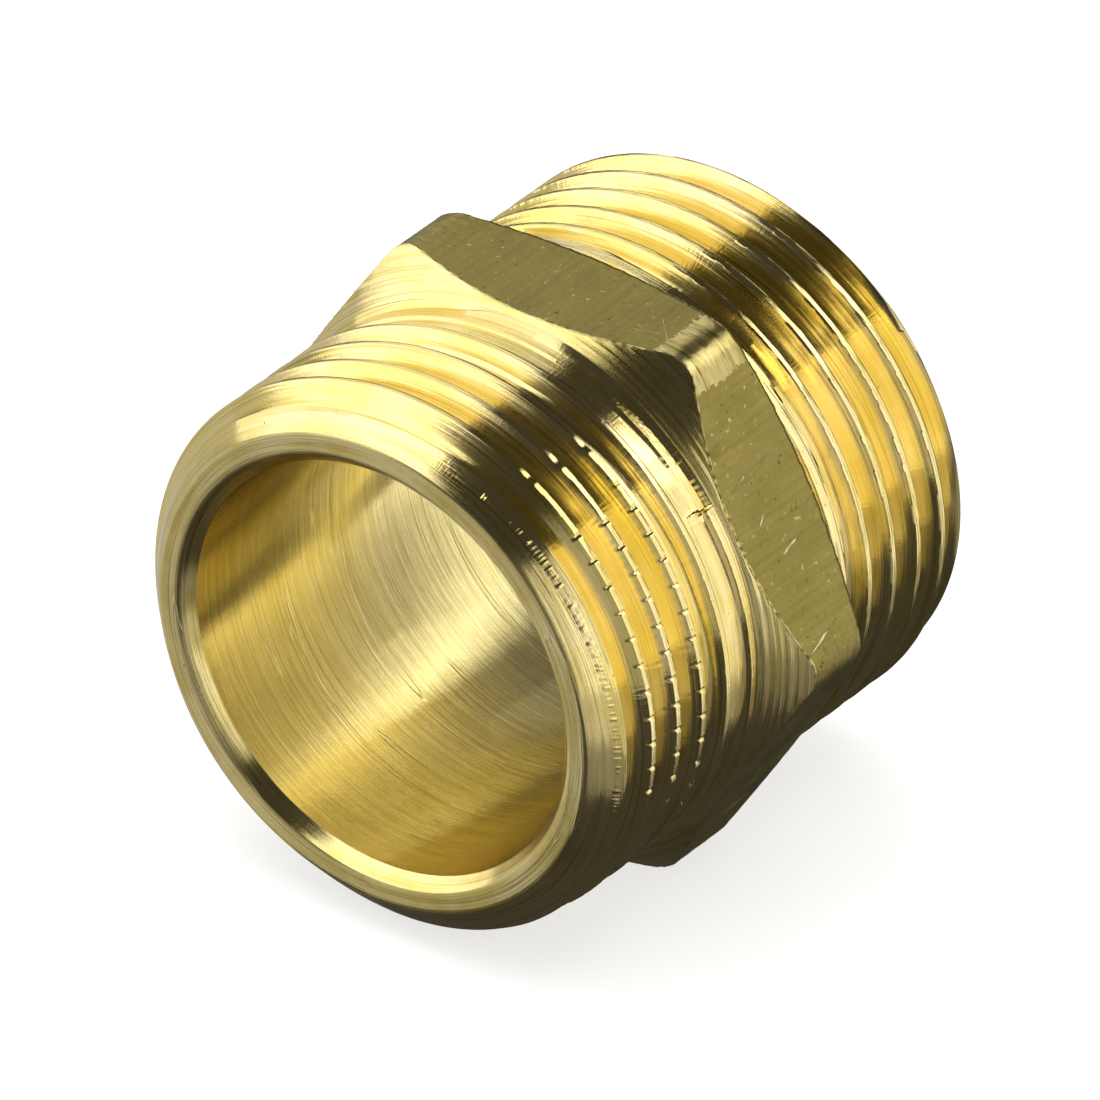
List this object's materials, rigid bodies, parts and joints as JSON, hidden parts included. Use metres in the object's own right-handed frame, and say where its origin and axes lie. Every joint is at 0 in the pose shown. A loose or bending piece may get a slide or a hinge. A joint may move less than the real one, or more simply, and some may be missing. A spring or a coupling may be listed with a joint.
{
  "type": "hex nipple",
  "caption": "Brass hex nipple that joins two female pipe ends: a spanner hexagon between two equal male pipe threads, with a plain bore right through.",
  "frame": {"origin": "on the bore axis, at the middle of the overall length, which is also the centre of the bounding box", "axes": "+X along the bore axis, from the near threaded end towards the far one; +Z is the outward normal of one hexagon flat, so the nipple lies on the opposite flat"},
  "size_m": [0.027, 0.0304, 0.0268],
  "materials": {
    "threaded_brass": "bright turned, with fine turning lines and small burrs on the thread crests",
    "hexagon_brass": "satin drawn-bar flats with pits and fine scratches, turned bright on the chamfers"
  },
  "bodies": {
    "root": {"near_thread_end": "threaded_brass", "hex_section": "hexagon_brass", "far_thread_end": "threaded_brass"}
  },
  "joints": []
}
